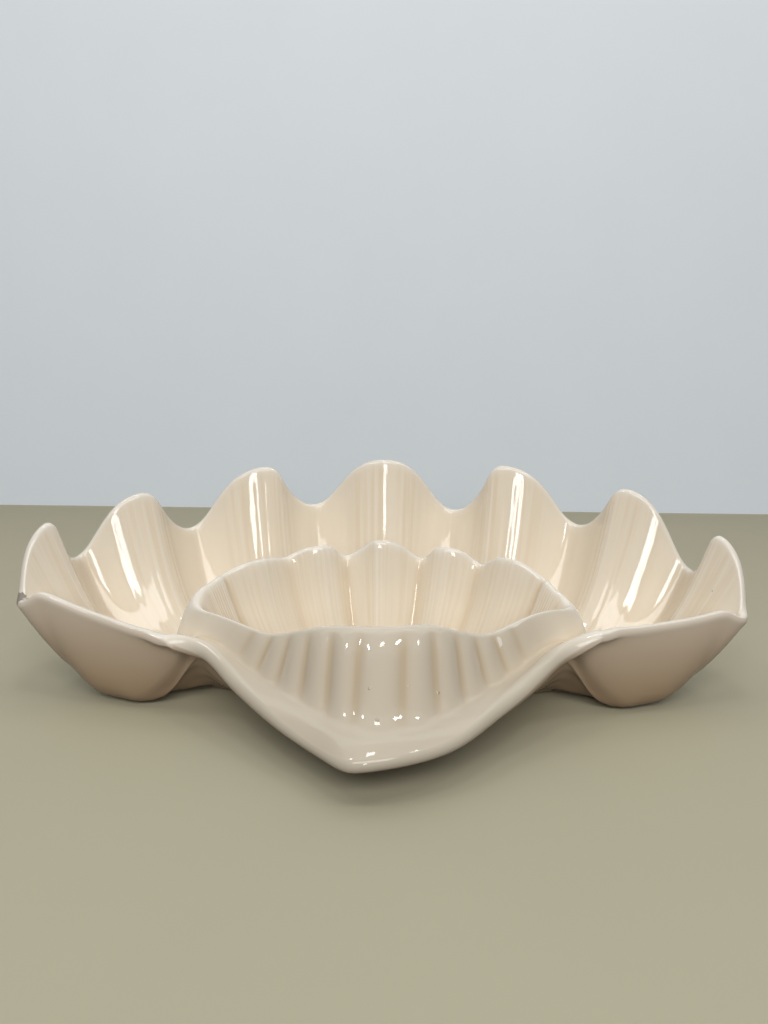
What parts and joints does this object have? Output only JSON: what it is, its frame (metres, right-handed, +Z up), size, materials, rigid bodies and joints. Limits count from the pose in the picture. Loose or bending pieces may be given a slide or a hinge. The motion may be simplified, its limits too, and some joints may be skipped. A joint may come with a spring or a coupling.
{
  "type": "chip and dip platter",
  "caption": "Glazed ceramic chip and dip platter shaped as an open giant clam shell, with a fluted fan for chips around a scalloped dip bowl with a ribbed dome front.",
  "frame": {"origin": "middle of the bounding box on the surface that the platter stands on", "axes": "+Z up, +X along the length from the left corner to the right corner, -Y towards the tongue at the front"},
  "size_m": [0.4454, 0.2894, 0.1284],
  "materials": {
    "glaze": "high gloss apricot cream glaze over white earthenware"
  },
  "bodies": {
    "root": {"platter": "glaze"}
  },
  "joints": []
}
